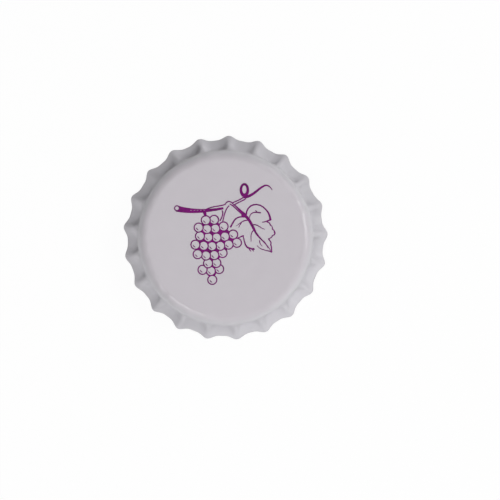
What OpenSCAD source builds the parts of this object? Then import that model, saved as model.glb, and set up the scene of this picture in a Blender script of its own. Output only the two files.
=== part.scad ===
// Crown bottle cap: a fluted tinplate shell, its moulded liner and the print on its panel.
// The rim stands on z = 0, the cap's axis is Z and the print is upright along +Y.

/* [Shell] */
// Height from the rim to the top of the panel
cap_h = 6; // [5.8:0.1:6.4]
// Diameter over the tips of the teeth
tip_d = 32.1; // [31.7:0.1:32.5]
// Thickness of the tinplate
sheet_t = 0.24; // [0.2:0.01:0.28]
// Inside diameter of the skirt above the flutes
bore_d = 26.75; // [26.6:0.05:26.9]
// Outside radius of the bend from the panel to the skirt
shoulder_r = 1.8; // [1.6:0.1:2]

/* [Flutes] */
// Number of teeth round the rim
teeth = 21; // [18:1:24]
// Turn of the first tooth from +X towards +Y, in degrees
tooth_turn = 2.16; // [0:0.01:20]
// Diameter at the rim, over the floors of the flutes
floor_d = 30.76; // [30.4:0.02:31]
// Height above the rim at which the floors start to flare out
flare_h = 3.2; // [3:0.1:3.4]
// Lean of the ring-shaped scoop that forms a flute, away from the cap's axis, in degrees
scoop_lean = 18; // [12:1:24]
// Radius of the eye of that scoop
scoop_eye_r = 0.15; // [0.1:0.05:0.6]
// Depth to which the scoop would bite into the plain skirt
scoop_bite = 0.15; // [0.12:0.01:0.3]
// Height above the rim at which the ridges between the flutes begin
ridge_h = 4.1; // [3.9:0.1:4.3]
// Radius of the hollow curve along the ridges
ridge_r = 8.5; // [7:0.5:14]

/* [Liner] */
// Diameter of the liner
liner_d = 25; // [24.8:0.1:25.2]
// Thickness of the web that covers the middle of the panel
web_t = 0.3; // [0.2:0.05:0.4]
// Thickness of the sealing ring
seal_t = 0.7; // [0.6:0.05:0.8]
// Width of the sealing ring
seal_w = 3.2; // [2.8:0.1:3.6]
// Radius of the two round lips on the sealing ring
lip_r = 0.25; // [0.15:0.05:0.3]
// Distance from each edge of the sealing ring to the middle of its lip
lip_in = 0.6; // [0.5:0.05:0.8]

/* [Print] */
// Width of the print, from the cut end of the branch to the edge of the leaf
print_w = 15.65; // [14.85:0.1:16.45]
// Thickness of the ink
ink_t = 0.03; // [0.02:0.01:0.05]
// Width of the ink's fine lines
line_w = 0.15; // [0.1:0.01:0.18]
// Diameter of a grape
grape_d = 1.54; // [1.4:0.02:1.6]
// Distance from one grape to the next in its row
grape_pitch = 1.28; // [1.24:0.01:1.34]
// Droop of the middle of each row of grapes
row_droop = 0.5; // [0:0.05:0.6]

/* [Hidden] */
$fn = 96;

// Shell: the skirt's outside radius, and the centre of the bend's arc
skirt_r = bore_d / 2 + sheet_t;
bend_at = [skirt_r - shoulder_r, cap_h - shoulder_r];

// Flutes: the floor's radius above the flare, and the arc that flares from there to the rim
pitch = 360 / teeth;
floor_top_r = skirt_r - scoop_bite;
flare_run = floor_d / 2 - floor_top_r;
flare_r = (flare_run * flare_run + flare_h * flare_h) / (2 * flare_run);
sweep_r = flare_r + sheet_t + scoop_eye_r;

// Ridges: an arc from a point sunk just inside the skirt's face to the tip of a tooth, hollow side out
ridge_sink = 0.05;
ridge_top = [skirt_r - ridge_sink, ridge_h];
ridge_tip = [tip_d / 2, 0];
ridge_half = norm(ridge_tip - ridge_top) / 2;
ridge_across = [ridge_top[1] - ridge_tip[1], ridge_tip[0] - ridge_top[0]] / (2 * ridge_half);
ridge_at = (ridge_top + ridge_tip) / 2 + ridge_across * sqrt(ridge_r * ridge_r - ridge_half * ridge_half);

// Liner: it hangs from the panel's underside, and its upper edge is rounded from where the bend starts
panel_z = cap_h - sheet_t;
liner_r = liner_d / 2;
liner_edge_r = liner_r - bend_at[0];
seal_in_r = liner_r - seal_w;
seal_z = panel_z - seal_t;

// Print: it is drawn on a grid, and is as many grid steps wide as stated
print_steps = 15.65;
grid = print_w / print_steps;

// Rows of grapes from the top down, each as [x of its first grape, y, number of grapes], in grid steps
bunch_rows = [
    [-3.0, 3.05, 2],
    [-4.1, 1.75, 4],
    [-3.9, 0.4, 5],
    [-4.6, -0.95, 6],
    [-4.25, -2.35, 4],
    [-2.65, -3.6, 2],
    [-3.5, -4.7, 3],
    [-2.0, -6.0, 1]
];
row_rise = 0.06;
stroke_steps = 8;

// One piece of tinplate: the inner surface follows the outer one at the sheet's thickness
module crown_shell() {
    color("silver")
    difference() {
        shell_form(0);
        shell_form(sheet_t);
        translate([0, 0, -cap_h]) cube([2 * tip_d, 2 * tip_d, 2 * cap_h], center = true);
    }
}

// Solid bounded by the shell's outer surface, moved inwards by inset
module shell_form(inset) {
    rotate_extrude() core_section(inset);
    scooped_skirt(inset, teeth);
}

// Flared skirt with the given number of flutes cut out of it, one after another
module scooped_skirt(inset, flutes) {
    if (flutes == 0) {
        rotate_extrude() ridge_section(inset);
    } else {
        difference() {
            scooped_skirt(inset, flutes - 1);
            rotate([0, 0, tooth_turn + (flutes - 0.5) * pitch]) scoop(inset);
        }
    }
}

// Half section of the panel, the bend and the plain skirt
module core_section(inset) {
    bend_r = shoulder_r - inset;
    translate([0, -cap_h]) square([skirt_r - inset, cap_h + bend_at[1]]);
    square([bend_at[0], cap_h - inset]);
    translate(bend_at) intersection() {
        circle(bend_r);
        square(bend_r);
    }
}

// Half section of the flared skirt before the flutes are scooped out
module ridge_section(inset) {
    difference() {
        translate([0, -cap_h]) square([ridge_tip[0] + 1, cap_h + ridge_top[1]]);
        translate(ridge_at) circle(ridge_r + inset);
    }
}

// Ring that hollows out one flute: the flare's arc, swept round an axis that leans out to the rim
module scoop(inset) {
    translate([floor_top_r + flare_r, 0, flare_h]) rotate([0, -scoop_lean, 0]) translate([sweep_r, 0, 0])
        rotate_extrude() translate([sweep_r, 0]) circle(flare_r + inset);
}

// Moulded gasket: a thin web, and a thicker ring with two lips that seals on the bottle
module liner() {
    color("whitesmoke")
    rotate_extrude() {
        translate([0, panel_z - web_t]) square([seal_in_r + seal_t, web_t]);
        intersection() {
            seal_block();
            union() {
                square([bend_at[0], panel_z]);
                square([liner_r, panel_z - liner_edge_r]);
                translate([bend_at[0], panel_z - liner_edge_r]) circle(liner_edge_r);
            }
        }
        for (lip_at = [seal_in_r + lip_in, liner_r - lip_in]) {
            translate([lip_at, seal_z]) circle(lip_r);
        }
    }
}

// Half section of the sealing ring, with its inner side chamfered down to the web
module seal_block() {
    polygon([
        [seal_in_r, seal_z],
        [liner_r, seal_z],
        [liner_r, panel_z],
        [seal_in_r + web_t - seal_t, panel_z]
    ]);
}

// Ink on the panel: a branch that carries a bunch of grapes, a tendril and a leaf
module grape_print() {
    color("purple")
    translate([0, 0, cap_h]) linear_extrude(ink_t) {
        bunch();
        branch();
        tendril();
        leaf();
    }
}

// Centre of grape i of a row: the rows droop in the middle and rise to the right
function grape_at(row, i) =
    [
        row[0] * grid + i * grape_pitch,
        row[1] * grid + i * row_rise - row_droop * sin(180 * (i + 0.5) / row[2])
    ];
grapes = [for (row = bunch_rows) for (i = [0 : row[2] - 1]) grape_at(row, i)];

// Line through the first grapes of the rows and back through the last ones
row_starts = [for (row = bunch_rows) grape_at(row, 0)];
row_ends = [for (k = [len(bunch_rows) - 1 : -1 : 0]) grape_at(bunch_rows[k], bunch_rows[k][2] - 1)];

// The ink fills the gaps between the grapes, and each grape is a light disc with a dark rim
module bunch() {
    hole_r = grape_d / 2 - line_w;
    difference() {
        union() {
            polygon(concat(row_starts, row_ends));
            for (c = grapes) translate(c) circle(d = grape_d);
        }
        for (k = [0 : len(grapes) - 1]) {
            difference() {
                translate(grapes[k]) circle(hole_r);
                for (j = [0 : k - 1]) {
                    if (norm(grapes[j] - grapes[k]) < grape_d) translate(grapes[j]) circle(d = grape_d);
                }
            }
        }
    }
    for (c = grapes) translate(c) grape_glint();
}

// Short dark mark low on the left of a grape
module grape_glint() {
    mark_r = grape_d / 4;
    rotate(225) difference() {
        circle(mark_r);
        translate([mark_r * 0.7 - grape_d, -grape_d / 2]) square(grape_d);
    }
}

// Branch from its cut end at the left to the knot, and the stalk that holds the bunch
module branch() {
    cut_at = [-7.45, 4.55];
    cut_r = 0.45;
    difference() {
        stroke([[-7.5, 4.5], [-5.8, 4.1], [-3.6, 3.9], [-0.3, 4.55]], [0.95, 0.3]);
        translate(cut_at * grid) circle(cut_r - line_w);
        for (i = [0 : 4]) {
            dash_at = [-5.4 + 0.5 * i, 4.22 + 0.01 * i];
            stroke([dash_at, dash_at + [0.1, 0], dash_at + [0.2, 0], dash_at + [0.3, 0]], [0.07, 0.07]);
        }
    }
    translate(cut_at * grid) ring(cut_r, line_w);
    fine([[-3.0, 4.35], [-1.8, 4.95], [-0.8, 4.8], [0, 5.15]]);
    fine([[0, 5.15], [0.3, 5.8], [0.8, 5.6], [1.1, 5.35]]);
    fine([[-0.5, 4.2], [-0.2, 3.8], [-0.5, 3.2], [-0.8, 2.6]]);
    fine([[0.6, 4.95], [0, 4.4], [-0.2, 3.4], [-0.4, 2.4]]);
    stroke([[-3.2, 4.2], [-3.2, 3.8], [-3.1, 3.6], [-3.0, 3.3]], [0.6, 0.3]);
}

// Tendril: a stem, one round loop and a tail that thins out
module tendril() {
    fine([[1.1, 5.35], [1.7, 5.7], [2.3, 5.8], [2.8, 6.25]]);
    fine([[1.3, 5.0], [2.0, 5.5], [2.6, 5.6], [3.2, 6.05]]);
    difference() {
        oval([2.95, 7.35], 0.72, 1.08);
        oval([2.95, 7.45], 0.34, 0.64);
    }
    stroke([[2.8, 6.3], [4.2, 6.2], [5.0, 7.6], [6.1, 8.05]], [0.45, 0.25]);
    stroke([[6.1, 8.05], [6.6, 8.2], [7.0, 7.8], [7.25, 7.35]], [0.25, 0.06]);
}

// Vine leaf, seen half from the side: its stalk, its midrib and veins, and its lobed edge
module leaf() {
    fine([[0.7, 5.2], [1.4, 4.9], [1.9, 4.1], [2.8, 3.5]]);
    stroke([[1.1, 5.3], [1.8, 4.8], [2.3, 4.1], [3.2, 3.5]], [0.12, 0.35]);
    stroke([[2.5, 3.6], [3.4, 3.5], [3.9, 2.4], [4.5, 1.2]], [0.45, 0.35]);
    stroke([[4.5, 1.2], [5.0, 0], [6.0, -0.4], [7.1, -2.1]], [0.3, 0.06]);
    leaf_edge();
    leaf_veins();
}

module leaf_edge() {
    stroke([[3.2, 3.3], [3.2, 5.3], [5.2, 5.7], [6.3, 4.3]], [0.2, 0.18]);
    stroke([[6.3, 4.3], [6.8, 3.8], [6.9, 3.2], [7.0, 2.7]], [0.18, 0.3]);
    stroke([[7.05, 2.75], [6.6, 2.7], [6.2, 2.4], [5.7, 2.4]], [0.2, 0.1]);
    fine([[6.4, 2.4], [6.7, 2.5], [6.9, 2.2], [7.0, 1.9]]);
    stroke([[6.95, 1.9], [7.3, 1.9], [7.3, 1.4], [7.3, 1.2]], [0.08, 0.14]);
    stroke([[7.25, 1.3], [7.5, 1.3], [7.6, 1.0], [7.6, 0.8]], [0.08, 0.2]);
    stroke([[7.6, 0.9], [7.8, 0.5], [7.5, 0.4], [7.2, 0.3]], [0.2, 0.12]);
    stroke([[7.3, 0.35], [7.2, 0.0], [6.9, -0.1], [6.6, -0.2]], [0.14, 0.1]);
    fine([[6.7, -0.15], [6.8, -0.5], [7.2, -0.6], [7.0, -1.1]]);
    fine([[7.0, -1.05], [7.2, -1.4], [7.1, -1.8], [7.2, -2.2]]);
    stroke([[7.2, -2.25], [6.6, -1.9], [6.3, -2.1], [5.9, -1.8]], [0.16, 0.08]);
    stroke([[5.95, -1.85], [5.6, -1.8], [5.2, -1.6], [4.9, -1.2]], [0.12, 0.06]);
    stroke([[4.5, -1.7], [4.1, -1.9], [3.9, -1.5], [3.6, -1.6]], [0.3, 0.14]);
    stroke([[3.7, -1.6], [3.1, -1.5], [3.0, -0.7], [2.8, 0.1]], [0.24, 0.12]);
    stroke([[3.7, -1.5], [3.7, -1.8], [3.8, -2.0], [4.0, -2.1]], [0.2, 0.06]);
    stroke([[4.2, -1.7], [4.2, -1.9], [4.3, -2.0], [4.4, -2.1]], [0.14, 0.06]);
    stroke([[2.85, 0.25], [2.5, 0.3], [2.3, 0], [1.9, 0]], [0.25, 0.06]);
    stroke([[3.2, 3.2], [1.4, 3.4], [1.4, 2.6], [0.8, 1.6]], [0.16, 0.22]);
}

module leaf_veins() {
    stroke([[3.5, 2.7], [2.8, 2.7], [2.5, 2.4], [1.7, 1.8]], [0.16, 0.06]);
    stroke([[2.6, 2.45], [2.3, 2.0], [2.2, 1.9], [2.1, 1.6]], [0.12, 0.06]);
    stroke([[3.7, 3.0], [3.9, 4.2], [4.8, 3.9], [5.5, 3.85]], [0.1, 0.18]);
    stroke([[4.9, 4.0], [4.8, 4.1], [4.7, 4.2], [4.6, 4.2]], [0.12, 0.05]);
    stroke([[4.3, 2.0], [5.1, 2.1], [5.3, 1.5], [6.1, 1.3]], [0.14, 0.06]);
    stroke([[4.4, 1.2], [3.8, 0.6], [4.0, 0], [4.0, -0.6]], [0.14, 0.06]);
    stroke([[5.9, -0.5], [6.2, -0.8], [6.4, -1.2], [6.6, -1.6]], [0.12, 0.06]);
    stroke([[5.3, -0.4], [5.3, -0.8], [5.4, -1.0], [5.7, -1.3]], [0.12, 0.06]);
}

// Ring of ink of the given outside radius and width
module ring(r, w) {
    difference() {
        circle(r);
        circle(r - w);
    }
}

// Upright oval on the grid, from points worked out round it
module oval(at, rx, ry) {
    polygon([for (a = [0 : 15 : 345]) at + [rx * cos(a), ry * sin(a)]] * grid);
}

// Fine line along a curve
module fine(path) {
    stroke(path, [line_w, line_w] / grid);
}

// Line along a curve given by four control points, from width w[0] to width w[1], all in grid steps
module stroke(path, w) {
    left = [for (i = [0 : stroke_steps]) beside(path, i / stroke_steps, w, 1)];
    right = [for (i = [stroke_steps : -1 : 0]) beside(path, i / stroke_steps, w, -1)];
    polygon(concat(left, right) * grid);
}

// Point on the curve at t, from 0 to 1, and the direction of the curve there
function along(p, t) =
    pow(1 - t, 3) * p[0] + 3 * t * pow(1 - t, 2) * p[1] + 3 * t * t * (1 - t) * p[2] + pow(t, 3) * p[3];
function heading(p, t) =
    pow(1 - t, 2) * (p[1] - p[0]) + 2 * t * (1 - t) * (p[2] - p[1]) + t * t * (p[3] - p[2]);

// Point half the line's width to one side of the curve
function beside(p, t, w, side) =
    let (h = heading(p, t), across = [-h[1], h[0]] / norm(h))
    along(p, t) + side * across * (w[0] + (w[1] - w[0]) * t) / 2;

crown_shell();
liner();
grape_print();
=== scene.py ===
"""Looks of a crown bottle cap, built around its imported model.

The pressed shell gets a dense mesh of the same form, with rounded ridges and a sheared edge. The print is its own
solid, grown a little at its edges, and the liner keeps its solid. Lengths are in metres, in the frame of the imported
model: the rim stands on z = 0 and the print is upright along +Y.
"""

import logging
import math
from dataclasses import dataclass, field
from enum import Enum, IntEnum
from typing import Any, Optional

import bpy
import numpy as np
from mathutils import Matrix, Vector


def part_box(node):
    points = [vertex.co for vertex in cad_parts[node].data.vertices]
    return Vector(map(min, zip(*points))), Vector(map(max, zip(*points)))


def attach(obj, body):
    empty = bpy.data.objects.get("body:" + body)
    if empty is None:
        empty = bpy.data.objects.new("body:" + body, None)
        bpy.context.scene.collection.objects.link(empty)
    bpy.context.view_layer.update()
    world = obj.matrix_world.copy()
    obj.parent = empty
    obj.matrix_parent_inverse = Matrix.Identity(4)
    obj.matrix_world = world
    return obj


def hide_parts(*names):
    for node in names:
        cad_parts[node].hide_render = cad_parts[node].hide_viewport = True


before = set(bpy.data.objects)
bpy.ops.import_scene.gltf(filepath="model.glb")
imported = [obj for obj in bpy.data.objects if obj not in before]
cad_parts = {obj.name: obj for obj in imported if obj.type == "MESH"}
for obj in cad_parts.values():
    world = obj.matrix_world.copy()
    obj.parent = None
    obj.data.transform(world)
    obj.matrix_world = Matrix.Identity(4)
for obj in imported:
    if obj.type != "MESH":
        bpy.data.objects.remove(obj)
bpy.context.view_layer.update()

log = logging.getLogger("crown_cap")

MM = 0.001
ROOT_BODY = "root"


class Node(Enum):
    """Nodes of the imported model."""

    SHELL = "crown_shell"
    LINER = "liner"
    PRINT = "grape_print"


class Slot(Enum):
    """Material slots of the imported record."""

    LACQUER = "lacquered_tinplate"
    INK = "print_ink"


class Skin(IntEnum):
    """Surfaces of the pressed sheet, in the order of the shell's finishes."""

    OUTSIDE = 0
    EDGE = 1
    INSIDE = 2


# ---------------------------------------------------------------------------------------------- materials


def linear(colour: str) -> tuple[float, float, float, float]:
    """Turns an sRGB colour into the linear values that Blender's sockets take.

    Args:
        colour: Six hex digits, such as "c2bdc4".

    Returns:
        Linear red, green and blue, with an alpha of 1.
    """
    parts = [int(colour[i : i + 2], 16) / 255 for i in (0, 2, 4)]
    values = [c / 12.92 if c <= 0.04045 else ((c + 0.055) / 1.055) ** 2.4 for c in parts]
    return (values[0], values[1], values[2], 1.0)


def per_metre(size_mm: float) -> float:
    """Scale of a pattern whose features are about size_mm across, for object coordinates in metres."""
    return 1.0 / (size_mm * MM)


def add_node(tree: bpy.types.NodeTree, kind: str, inputs: Optional[dict[Any, Any]] = None, **settings: Any) -> Any:
    """Adds one node to a tree, with its settings, its constant inputs and the links into it.

    Args:
        tree: The material's or the world's node tree.
        kind: The node's type, without the leading "ShaderNode".
        inputs: Values or output sockets, by the name or the number of the input.
        settings: Properties of the node.

    Returns:
        The new node.
    """
    node = tree.nodes.new("ShaderNode" + kind)
    for name, value in settings.items():
        setattr(node, name, value)
    for key, value in (inputs or {}).items():
        if isinstance(value, bpy.types.NodeSocket):
            tree.links.new(value, node.inputs[key])
        else:
            node.inputs[key].default_value = value
    return node


@dataclass(frozen=True)
class Finish:
    """A surface finish, with the values that every finish here has."""

    name: str
    colour: str
    shade: str
    roughness: float
    metallic: float = 0.0

    def material(self) -> bpy.types.Material:
        """Makes the finish's material, with its patterns.

        Returns:
            The new material.
        """
        made = bpy.data.materials.new(self.name)
        made.use_nodes = True
        made.diffuse_color = linear(self.colour)
        tree = made.node_tree
        tree.nodes.clear()
        place = add_node(tree, "TexCoord").outputs["Object"]
        surface = add_node(tree, "BsdfPrincipled", {"Metallic": self.metallic, "Roughness": self.roughness})
        self.pattern(tree, place, surface)
        add_node(tree, "OutputMaterial", {"Surface": surface.outputs["BSDF"]})
        return made

    def pattern(self, tree: bpy.types.NodeTree, place: bpy.types.NodeSocket, surface: Any) -> None:
        """Links the finish's patterns to its surface.

        Args:
            tree: The material's node tree.
            place: Object coordinates, in metres.
            surface: The Principled node.
        """
        raise NotImplementedError

    def mottle(
        self, tree: bpy.types.NodeTree, place: bpy.types.NodeSocket, size_mm: float, detail: float
    ) -> bpy.types.NodeSocket:
        """Mixes the finish's two colours by a soft noise.

        Args:
            tree: The material's node tree.
            place: Object coordinates, in metres.
            size_mm: Size of the patches.
            detail: How many finer layers the noise has.

        Returns:
            The colour.
        """
        noise = add_node(tree, "TexNoise", {"Vector": place, "Scale": per_metre(size_mm), "Detail": detail})
        mix = add_node(
            tree,
            "Mix",
            {"Factor": noise.outputs["Fac"], "A": linear(self.colour), "B": linear(self.shade)},
            data_type="RGBA",
        )
        return mix.outputs[2]

    def relief(
        self,
        tree: bpy.types.NodeTree,
        place: bpy.types.NodeSocket,
        size_mm: float,
        depth_mm: float,
        detail: float,
        others: dict[str, Any],
    ) -> bpy.types.NodeSocket:
        """Raises and lowers the surface by a soft noise.

        Args:
            tree: The material's node tree.
            place: Object coordinates, in metres.
            size_mm: Size of the hills.
            depth_mm: Height of the hills.
            detail: How many finer layers the noise has.
            others: The strength of the relief and, where it lies over another relief, that one's normal.

        Returns:
            The normal.
        """
        noise = add_node(tree, "TexNoise", {"Vector": place, "Scale": per_metre(size_mm), "Detail": detail})
        bump = add_node(tree, "Bump", {"Height": noise.outputs["Fac"], "Distance": depth_mm * MM, **others})
        return bump.outputs["Normal"]


@dataclass(frozen=True)
class SatinLacquer(Finish):
    """White litho lacquer under clear varnish, roller-coated on tinplate and stoved.

    It gives the eye a satin sheen over a faint orange peel. The slow ripples of the drawn sheet break up the long
    highlights on the shoulder. They are drawn deeper than real ones, so that they show. The varnish is duller on the
    skirt, which the tools rub as they press it.
    """

    name: str = "satin_white_lacquer"
    colour: str = "c4bfc5"
    shade: str = "c0bbc1"
    # Painted light: the shoulder and skirt take this cooler, lighter colour in place of the panel's, standing in for
    # the cooler light on the slopes. It is full below the next height and gone at flat_z.
    slope_light_tint: str = "c5c3c8"
    slope_light_z: float = 5.3 * MM
    flat_z: float = 6.0 * MM
    roughness: float = 0.6
    sheen: float = 0.3
    varnish: float = 0.36
    varnish_roughness: float = 0.18
    skirt_varnish: float = 0.15
    dull_z: float = 3.4 * MM
    clear_z: float = 4.8 * MM
    cloud_mm: float = 3.0
    cloud_detail: float = 2.0
    peel_mm: float = 0.35
    peel_depth_mm: float = 0.004
    peel_detail: float = 1.0
    peel_strength: float = 0.5
    ripple_mm: float = 2.4
    ripple_depth_mm: float = 0.2
    ripple_detail: float = 1.0
    rippled_z: float = 5.97 * MM
    unrippled_z: float = 6.02 * MM  # just above the panel, so that a part of the ripples runs on over it

    def pattern(self, tree: bpy.types.NodeTree, place: bpy.types.NodeSocket, surface: Any) -> None:
        """Links faint clouds of colour, a painted cooler light on the slopes, the clear varnish, the drawn sheet's
        ripples and the orange peel.

        Args:
            tree: The material's node tree.
            place: Object coordinates, in metres.
            surface: The Principled node.
        """
        surface.inputs["Specular IOR Level"].default_value = self.sheen
        surface.inputs["Coat Roughness"].default_value = self.varnish_roughness
        height = add_node(tree, "SeparateXYZ", {"Vector": place}).outputs["Z"]
        heights = {"From Min": self.dull_z, "From Max": self.clear_z}
        weights = {"To Min": self.skirt_varnish, "To Max": self.varnish}
        varnish = add_node(tree, "MapRange", {"Value": height, **heights, **weights})
        tree.links.new(varnish.outputs["Result"], surface.inputs["Coat Weight"])
        # Painted light: the colour turns from the slopes' cooler tint to the panel's clouds between the two heights,
        # standing in for the cooler light on the slopes.
        drawn = add_node(
            tree,
            "MapRange",
            {"Value": height, "From Min": self.slope_light_z, "From Max": self.flat_z},
            interpolation_type="SMOOTHSTEP",
        )
        flat = self.mottle(tree, place, self.cloud_mm, self.cloud_detail)
        coat = add_node(
            tree,
            "Mix",
            {"Factor": drawn.outputs["Result"], "A": linear(self.slope_light_tint), "B": flat},
            data_type="RGBA",
        )
        tree.links.new(coat.outputs[2], surface.inputs["Base Color"])
        off_panel = {"From Min": self.rippled_z, "From Max": self.unrippled_z, "To Min": 1.0, "To Max": 0.0}
        share = add_node(tree, "MapRange", {"Value": height, **off_panel}).outputs["Result"]
        ripples = self.relief(
            tree, place, self.ripple_mm, self.ripple_depth_mm, self.ripple_detail, {"Strength": share}
        )
        over_ripples = {"Strength": self.peel_strength, "Normal": ripples}
        peel = self.relief(tree, place, self.peel_mm, self.peel_depth_mm, self.peel_detail, over_ripples)
        tree.links.new(peel, surface.inputs["Normal"])
        tree.links.new(peel, surface.inputs["Coat Normal"])


@dataclass(frozen=True)
class ClearLacqueredTin(Finish):
    """Tinplate under a clear lacquer, the inside of the shell: silvery, with the faint grain of rolled sheet.

    The grain is drawn some five times as coarse as the rolls leave it, so that it shows.
    """

    name: str = "clear_lacquered_tin"
    colour: str = "cdc9c0"
    shade: str = "bdb9b0"
    roughness: float = 0.34
    metallic: float = 1.0
    grain_mm: float = 0.25
    grain_stretch: float = 12.0
    grain_depth_mm: float = 0.003
    grain_detail: float = 3.0
    grain_strength: float = 0.5

    def pattern(self, tree: bpy.types.NodeTree, place: bpy.types.NodeSocket, surface: Any) -> None:
        """Links a colour that follows the rolling direction, and the grain's bump.

        Args:
            tree: The material's node tree.
            place: Object coordinates, in metres.
            surface: The Principled node.
        """
        along = add_node(tree, "Mapping", {"Vector": place, "Scale": (1.0 / self.grain_stretch, 1.0, 1.0)})
        rolled = along.outputs["Vector"]
        colour = self.mottle(tree, rolled, self.grain_mm, self.grain_detail)
        tree.links.new(colour, surface.inputs["Base Color"])
        strength = {"Strength": self.grain_strength}
        grain = self.relief(tree, rolled, self.grain_mm, self.grain_depth_mm, self.grain_detail, strength)
        tree.links.new(grain, surface.inputs["Normal"])


@dataclass(frozen=True)
class ShearedSteel(Finish):
    """Bare steel where the blank was sheared: dull grey, with short tear marks across the edge.

    The marks are drawn coarser than real ones, which are too fine to show.
    """

    name: str = "sheared_steel_edge"
    colour: str = "9a9694"
    shade: str = "6f6b69"
    roughness: float = 0.5
    metallic: float = 1.0
    tear_mm: float = 0.12
    tear_detail: float = 4.0

    def pattern(self, tree: bpy.types.NodeTree, place: bpy.types.NodeSocket, surface: Any) -> None:
        """Links the colour of the tear marks."""
        tree.links.new(self.mottle(tree, place, self.tear_mm, self.tear_detail), surface.inputs["Base Color"])


@dataclass(frozen=True)
class LinerCompound(Finish):
    """Polyethylene compound, moulded hot inside the shell: milky and smooth, with soft clouds of filler."""

    name: str = "moulded_liner_compound"
    colour: str = "e6e7e2"
    shade: str = "d6d8d4"
    roughness: float = 0.42
    ior: float = 1.51
    cloud_mm: float = 2.5
    cloud_detail: float = 3.0
    mould_mm: float = 0.5
    mould_depth_mm: float = 0.01
    mould_detail: float = 2.0
    mould_strength: float = 0.4

    def pattern(self, tree: bpy.types.NodeTree, place: bpy.types.NodeSocket, surface: Any) -> None:
        """Links the clouds of filler and the mould's faint texture.

        Args:
            tree: The material's node tree.
            place: Object coordinates, in metres.
            surface: The Principled node.
        """
        surface.inputs["IOR"].default_value = self.ior
        colour = self.mottle(tree, place, self.cloud_mm, self.cloud_detail)
        tree.links.new(colour, surface.inputs["Base Color"])
        strength = {"Strength": self.mould_strength}
        mould = self.relief(tree, place, self.mould_mm, self.mould_depth_mm, self.mould_detail, strength)
        tree.links.new(mould, surface.inputs["Normal"])


@dataclass(frozen=True)
class LithoInk(Finish):
    """Purple litho ink under varnish: its film is uneven, so it is redder and lighter where it is thin."""

    name: str = "purple_litho_ink"
    colour: str = "8e1582"
    shade: str = "3c0e3c"
    roughness: float = 0.4
    sheen: float = 0.1
    film_mm: float = 0.8
    film_detail: float = 3.0

    def pattern(self, tree: bpy.types.NodeTree, place: bpy.types.NodeSocket, surface: Any) -> None:
        """Links the film's uneven colour."""
        surface.inputs["Specular IOR Level"].default_value = self.sheen
        tree.links.new(self.mottle(tree, place, self.film_mm, self.film_detail), surface.inputs["Base Color"])


# ------------------------------------------------------------------------------------------------- pieces


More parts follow.
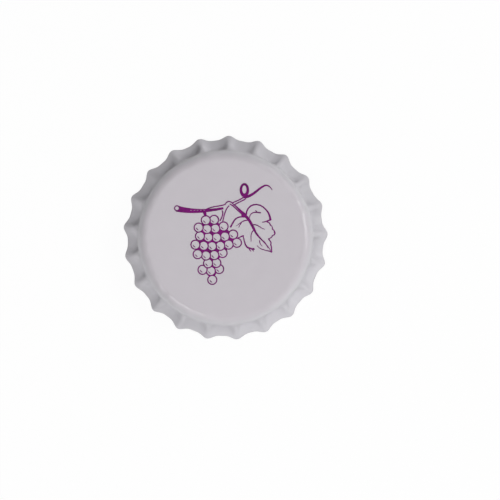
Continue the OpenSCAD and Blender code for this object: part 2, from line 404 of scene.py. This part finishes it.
@dataclass
class CrownShell:
    """The pressed shell: a flat panel, a round shoulder and a flared skirt with flutes between rounded ridges."""

    height: float
    tip_r: float
    name: str = "crown_shell_pressed"
    teeth: int = 21
    first_tooth: float = math.radians(2.16)
    sheet: float = 0.24 * MM
    skirt_r: float = 13.615 * MM
    shoulder_r: float = 1.65 * MM
    floor_r: float = 15.37 * MM
    flare_bend_r: float = 0.9 * MM
    flare_lean: float = math.radians(66)
    ridge_z: float = 3.8 * MM
    ridge_r: float = 4.5 * MM
    ridge_fade: float = 0.5 * MM
    ridge_blend: float = 0.1 * MM
    crest_half: float = 0.03
    flank_foot: float = 0.21
    tip_power: float = 3.6
    dent_depth: float = 0.12 * MM
    dent_waves: tuple[tuple[int, float, float], ...] = (
        (8, 0.9, 0.4),
        (17, -1.6, 2.1),
        (27, 1.9, 4.4),
        (38, -1.4, 1.3),
    )
    columns_per_tooth: int = 28
    shoulder_rings: int = 20
    skirt_rings: int = 56
    edge_steps: tuple[float, ...] = (0.12, 0.5, 0.88)
    levelling_passes: int = 4
    finishes: tuple[Finish, ...] = (SatinLacquer(), ShearedSteel(), ClearLacqueredTin())

    def core(self, z: np.ndarray) -> np.ndarray:
        """Radius of the shoulder and of the plain skirt below it.

        Args:
            z: Heights above the rim.

        Returns:
            The radius at each height.
        """
        rise = np.clip(z - (self.height - self.shoulder_r), 0, self.shoulder_r)
        return self.skirt_r - self.shoulder_r + np.sqrt(self.shoulder_r**2 - rise**2)

    def floor(self, z: np.ndarray, rim_z: float) -> np.ndarray:
        """Radius of the floors of the flutes: the skirt, then a bend, then a straight flare to the rim.

        Args:
            z: Heights above the ground.
            rim_z: Height of the sheet's outer edge.

        Returns:
            The radius at each height.
        """
        bend_out = self.flare_bend_r * (1 - math.cos(self.flare_lean))
        bend_down = self.flare_bend_r * math.sin(self.flare_lean)
        bend_foot_z = rim_z + (self.floor_r - self.skirt_r - bend_out) / math.tan(self.flare_lean)
        below = np.clip(bend_foot_z + bend_down - z, 0, bend_down)
        straight = np.clip(bend_foot_z - z, 0, None) * math.tan(self.flare_lean)
        return self.core(z) + self.flare_bend_r - np.sqrt(self.flare_bend_r**2 - below**2) + straight

    def ridge(self, z: np.ndarray, rim_z: float) -> np.ndarray:
        """Radius along the ridges: a hollow arc from the top of a ridge to the tip of its tooth.

        Args:
            z: Heights above the ground.
            rim_z: Height of the sheet's outer edge.

        Returns:
            The radius at each height.
        """
        top = np.array([self.skirt_r, self.ridge_z])
        tip = np.array([self.tip_r, rim_z])
        half = np.linalg.norm(tip - top) / 2
        across = np.array([top[1] - tip[1], tip[0] - top[0]]) / (2 * half)
        middle = (top + tip) / 2 + across * math.sqrt(self.ridge_r**2 - half**2)
        return middle[0] - np.sqrt(self.ridge_r**2 - (z - middle[1]) ** 2)

    def outside(self, z: np.ndarray, turn: np.ndarray, rim_z: float) -> np.ndarray:
        """Points of the outer surface.

        Args:
            z: Heights, one for each ring.
            turn: Angles from +X, one for each column.
            rim_z: Height of the sheet's outer edge.

        Returns:
            Points, by ring and column.
        """
        floor = self.floor(z, rim_z)
        # How far a ridge stands out from the floors. It is never below them, and fades out at its top.
        over = self.ridge(z, rim_z) - floor
        share = np.clip(0.5 + 0.5 * over / self.ridge_blend, 0, 1)
        over = over * share + self.ridge_blend * share * (1 - share)
        over = over * np.clip((self.ridge_z + self.ridge_fade - z) / self.ridge_fade, 0, 1)
        # The ridges' section: narrow with hollow flanks at the top, and turning into a rounded tooth at the rim.
        down = np.clip((self.ridge_z - z) / self.ridge_z, 0, 1)
        at_tips = np.abs(np.cos(self.teeth * (turn - self.first_tooth) / 2)) ** self.tip_power
        from_crest = np.abs((self.teeth * (turn - self.first_tooth) / (2 * math.pi) + 0.5) % 1 - 0.5)
        flank = np.clip((self.flank_foot - from_crest) / (self.flank_foot - self.crest_half), 0, 1)
        at_top = flank * flank * (3 - 2 * flank)
        wave = down[:, None] * at_tips + (1 - down[:, None]) * at_top
        r = floor[:, None] + over[:, None] * wave - self.dents(z, turn)
        return np.stack([r * np.cos(turn), r * np.sin(turn), np.broadcast_to(z[:, None], r.shape)], -1)

    def dents(self, z: np.ndarray, turn: np.ndarray) -> np.ndarray:
        """Depth to which the pressed sheet stands inside its true form, as no two flutes come out quite the same.

        Args:
            z: Heights, one for each ring.
            turn: Angles from +X, one for each column.

        Returns:
            Depths, by ring and column.
        """
        depth = np.zeros((len(z), len(turn)))
        for lobes, lean, phase in self.dent_waves:
            depth += 1 + np.sin(lobes * turn[None, :] + lean * z[:, None] / MM + phase)
        return self.dent_depth * depth / (2 * len(self.dent_waves))

    def inside(self, points: np.ndarray) -> np.ndarray:
        """Moves a grid of surface points inwards by the thickness of the sheet.

        Args:
            points: Points of the outer surface, by ring and column.

        Returns:
            Points of the inner surface, in the same order.
        """
        around = np.roll(points, -1, 1) - np.roll(points, 1, 1)
        down = np.gradient(points, axis=0)
        normal = np.cross(down, around)
        normal /= np.linalg.norm(normal, axis=-1, keepdims=True)
        return points - self.sheet * normal

    def heights(self, rim_z: float) -> np.ndarray:
        """Heights of the rings, from the edge of the panel down to the rim.

        Args:
            rim_z: Height of the sheet's outer edge.

        Returns:
            Heights above the ground.
        """
        bend_z = self.height - self.shoulder_r
        turn = np.linspace(0, math.pi / 2, self.shoulder_rings + 1)
        skirt = np.linspace(bend_z, rim_z, self.skirt_rings + 1)
        return np.concatenate([bend_z + self.shoulder_r * np.cos(turn), skirt[1:]])

    def build(self) -> bpy.types.Object:
        """Builds the shell as one closed mesh: outer surface, sheared edge and inner surface.

        Returns:
            The shell's object.
        """
        columns = self.teeth * self.columns_per_tooth
        turn = np.arange(columns) * (2 * math.pi / columns)
        rim_z = self.sheet
        for _ in range(self.levelling_passes):  # the outer edge comes to stand where the inner edge meets the ground
            outer = self.outside(self.heights(rim_z), turn, rim_z)
            rim_z -= self.inside(outer)[..., 2].min()
        outer = self.outside(self.heights(rim_z), turn, rim_z)
        inner = self.inside(outer)
        edge = [outer[-1] + (inner[-1] - outer[-1]) * step for step in self.edge_steps]
        rings = np.concatenate([outer, np.stack(edge), inner[::-1]])
        shell = ring_mesh(self.name, rings)
        bands = [Skin.OUTSIDE] * (len(outer) - 1) + [Skin.EDGE] * (len(edge) + 1) + [Skin.INSIDE] * (len(inner) - 1)
        slots = np.array(bands).repeat(columns)
        slots = np.concatenate([slots, [Skin.OUTSIDE, Skin.INSIDE]]).astype(np.int32)
        shell.data.polygons.foreach_set("material_index", slots)
        for finish in self.finishes:
            shell.data.materials.append(finish.material())
        return shell

    def make(self) -> bpy.types.Object:
        """Builds the shell and puts it in the place of its solid.

        Returns:
            The shell's object.
        """
        shell = self.build()
        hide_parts(Node.SHELL.value)
        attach(shell, ROOT_BODY)
        return shell


def ring_mesh(name: str, rings: np.ndarray) -> bpy.types.Object:
    """Makes a closed mesh from rings of points, with a flat face at each end.

    Args:
        name: Name of the object and its mesh.
        rings: Points, by ring and column. Each ring runs anticlockwise seen from above.

    Returns:
        The new object, in the scene.
    """
    count, around = rings.shape[:2]
    here = np.arange(around)
    after = (here + 1) % around
    quads = [
        np.stack([k * around + here, (k + 1) * around + here, (k + 1) * around + after, k * around + after], -1)
        for k in range(count - 1)
    ]
    faces = np.concatenate(quads).tolist()
    faces.append(here.tolist())
    faces.append(((count - 1) * around + here[::-1]).tolist())
    mesh = bpy.data.meshes.new(name)
    mesh.from_pydata(rings.reshape(-1, 3).tolist(), [], faces)
    mesh.shade_smooth()
    mesh.polygons[len(faces) - 1].use_smooth = False
    mesh.polygons[len(faces) - 2].use_smooth = False
    made = bpy.data.objects.new(name, mesh)
    bpy.context.scene.collection.objects.link(made)
    return made


@dataclass
class KeptSolid:
    """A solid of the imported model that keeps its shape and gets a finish."""

    node: Node
    finish: Finish

    def make(self) -> bpy.types.Object:
        """Dresses the solid.

        Returns:
            The solid's object.
        """
        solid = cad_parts[self.node.value]
        solid.data.materials.clear()
        solid.data.materials.append(self.finish.material())
        return solid


@dataclass
class InkedPrint:
    """The print, grown by the little that ink creeps past the edges of its plate under the press."""

    name: str = "grape_print_inked"
    creep: float = 0.016 * MM
    same_place: float = 0.00001 * MM
    steepest_top: float = 0.5
    least_pull: float = 0.5
    finish: Finish = field(default_factory=LithoInk)

    def crept(self, mesh: bpy.types.Mesh) -> np.ndarray:
        """Finds where the print's points go as its ink creeps outwards.

        Args:
            mesh: The solid's mesh of triangles.

        Returns:
            The points, each moved away from the walls that meet at its place, and as high as before.
        """
        points = np.array([vertex.co for vertex in mesh.vertices])
        corners = np.array([face.vertices for face in mesh.polygons])
        normals = np.array([face.normal for face in mesh.polygons])
        places = np.unique(np.round(points / self.same_place), axis=0, return_inverse=True)[1].ravel()
        ahead = points[np.roll(corners, -1, 1)] - points[corners]
        behind = points[np.roll(corners, 1, 1)] - points[corners]
        lengths = np.linalg.norm(ahead, axis=-1) * np.linalg.norm(behind, axis=-1)
        angles = np.arccos(np.clip((ahead * behind).sum(-1) / lengths, -1, 1))
        walls = np.abs(normals[:, 2]) < self.steepest_top
        pulls = np.zeros((places.max() + 1, 3))
        shares = np.zeros(len(pulls))
        np.add.at(pulls, places[corners[walls]], angles[walls][..., None] * normals[walls][:, None])
        np.add.at(shares, places[corners[walls]], angles[walls])
        pulls /= np.where(shares > 0, shares, 1.0)[:, None]
        pulls[:, 2] = 0
        pulls /= np.maximum(np.linalg.norm(pulls, axis=-1), self.least_pull)[:, None]
        moved = (points + self.creep * pulls[places])[corners]
        turned = (np.cross(moved[:, 1] - moved[:, 0], moved[:, 2] - moved[:, 0]) * normals).sum(-1) <= 0
        pulls[places[corners[turned]]] = 0  # slivers at sharp corners stay put, so that they don't turn over
        return points + self.creep * pulls[places]

    def make(self) -> bpy.types.Object:
        """Builds the inked print and puts it in the place of its solid.

        Returns:
            The print's object.
        """
        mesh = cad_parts[Node.PRINT.value].data.copy()
        mesh.name = self.name
        mesh.vertices.foreach_set("co", self.crept(mesh).ravel())
        mesh.materials.clear()
        mesh.materials.append(self.finish.material())
        made = bpy.data.objects.new(self.name, mesh)
        bpy.context.scene.collection.objects.link(made)
        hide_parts(Node.PRINT.value)
        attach(made, ROOT_BODY)
        return made


# ------------------------------------------------------------------------------------------------- studio


@dataclass(frozen=True)
class SoftBox:
    """A square soft light, aimed at the cap."""

    name: str
    azimuth: float
    elevation: float
    power: float
    size: float
    distance: float = 0.6

    def make(self) -> bpy.types.Object:
        """Makes the light.

        Returns:
            The light's object.
        """
        light = bpy.data.lights.new(self.name, "AREA")
        light.size = self.size
        light.energy = self.power
        made = bpy.data.objects.new(self.name, light)
        bpy.context.scene.collection.objects.link(made)
        turn, rise = math.radians(self.azimuth), math.radians(self.elevation)
        away = Vector((math.cos(turn) * math.cos(rise), math.sin(turn) * math.cos(rise), math.sin(rise)))
        made.location = away * self.distance
        made.rotation_mode = "QUATERNION"
        made.rotation_quaternion = away.to_track_quat("Z", "Y")
        return made


@dataclass
class Studio:
    """Pale floor, soft lights and a camera that looks straight down."""

    floor_size: float = 4.0
    floor_colour: str = "eeeeee"
    floor_roughness: float = 0.9
    floor_whitening: float = 0.95
    mirrored_share: float = 0.4
    sky_strength: float = 0.09
    lens: float = 200.0
    sensor: float = 36.0
    image_px: float = 500.0
    cap_px: float = 205.2
    cap_at_px: tuple[float, float] = (225.6, 237.9)
    lights: tuple[SoftBox, ...] = (
        SoftBox("right_light", azimuth=10, elevation=43, power=1.4, size=0.2),
        SoftBox("left_light", azimuth=-124, elevation=54, power=1.18, size=0.2),
        SoftBox("rear_light", azimuth=49, elevation=36, power=0.84, size=0.3),
        SoftBox("low_left_light", azimuth=-110, elevation=27, power=0.79, size=0.35),
        SoftBox("low_front_light", azimuth=-42, elevation=16, power=0.43, size=0.3),
        SoftBox("top_light", azimuth=0, elevation=89.9, power=0.36, size=0.3),
    )

    def floor(self) -> bpy.types.Object:
        """Makes the floor, which looks white to the camera and in mirror images, and keeps a soft shadow.

        Returns:
            The floor's object.
        """
        half = self.floor_size / 2
        mesh = bpy.data.meshes.new("studio_floor")
        corners = [(-half, -half, 0), (half, -half, 0), (half, half, 0), (-half, half, 0)]
        mesh.from_pydata(corners, [], [(0, 1, 2, 3)])
        made = bpy.data.objects.new("studio_floor", mesh)
        bpy.context.scene.collection.objects.link(made)
        material = bpy.data.materials.new("white_card")
        material.use_nodes = True
        tree = material.node_tree
        tree.nodes.clear()
        card = add_node(
            tree,
            "BsdfPrincipled",
            {"Base Color": linear(self.floor_colour), "Roughness": self.floor_roughness},
        )
        glow = add_node(tree, "Emission", {"Strength": 1.0})
        ray = add_node(tree, "LightPath").outputs
        either = {0: ray["Is Glossy Ray"], 1: ray["Is Transmission Ray"]}
        mirrored = add_node(tree, "Math", either, operation="MAXIMUM").outputs[0]
        dimmed = add_node(tree, "Math", {0: mirrored, 1: self.mirrored_share}, operation="MULTIPLY").outputs[0]
        seen = add_node(tree, "Math", {0: ray["Is Camera Ray"], 1: dimmed}, operation="MAXIMUM").outputs[0]
        share = add_node(tree, "Math", {0: seen, 1: self.floor_whitening}, operation="MULTIPLY")
        mix = add_node(tree, "MixShader", {0: share.outputs[0], 1: card.outputs[0], 2: glow.outputs[0]})
        add_node(tree, "OutputMaterial", {"Surface": mix.outputs[0]})
        mesh.materials.append(material)
        return made

    def sky(self) -> None:
        """Makes the even light that comes from all round."""
        world = bpy.data.worlds.new("studio_sky")
        world.use_nodes = True
        world.node_tree.nodes.clear()
        light = add_node(
            world.node_tree, "Background", {"Color": (1.0, 1.0, 1.0, 1.0), "Strength": self.sky_strength}
        )
        add_node(world.node_tree, "OutputWorld", {"Surface": light.outputs[0]})
        bpy.context.scene.world = world

    def camera(self, width: float) -> bpy.types.Object:
        """Makes the camera, straight above the ground and aimed down.

        Args:
            width: Width of the cap over its teeth.

        Returns:
            The camera's object.
        """
        data = bpy.data.cameras.new("camera")
        data.lens = self.lens
        data.sensor_width = self.sensor
        made = bpy.data.objects.new("camera", data)
        bpy.context.scene.collection.objects.link(made)
        metres_per_px = width / self.cap_px
        middle = self.image_px / 2
        made.location = (
            (middle - self.cap_at_px[0]) * metres_per_px,
            (self.cap_at_px[1] - middle) * metres_per_px,
            metres_per_px * self.image_px * self.lens / self.sensor,
        )
        bpy.context.scene.camera = made
        return made

    def make(self, width: float) -> None:
        """Sets up the studio.

        Args:
            width: Width of the cap over its teeth.
        """
        self.floor()
        self.sky()
        for light in self.lights:
            light.make()
        self.camera(width)
        bpy.context.scene.view_settings.view_transform = "Standard"


def tip_radius(node: Node) -> float:
    """Largest distance of a node's points from the cap's axis."""
    points = np.array([v.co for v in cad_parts[node.value].data.vertices])
    return float(np.hypot(points[:, 0], points[:, 1]).max())


def report_piece(piece: bpy.types.Object) -> None:
    """Reports a finished piece."""
    log.info("%s: %d faces, %s", piece.name, len(piece.data.polygons), [m.name for m in piece.data.materials])


def main() -> None:
    """Builds the cap's pieces in order, then the studio round them."""
    logging.basicConfig(level=logging.INFO)
    tip_r = tip_radius(Node.SHELL)
    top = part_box(Node.SHELL.value)[1].z
    makers = [
        CrownShell(height=top, tip_r=tip_r),
        KeptSolid(Node.LINER, LinerCompound()),
        InkedPrint(),
    ]
    for maker in makers:
        report_piece(maker.make())
    Studio().make(2 * tip_r)


if __name__ == "__main__":
    main()
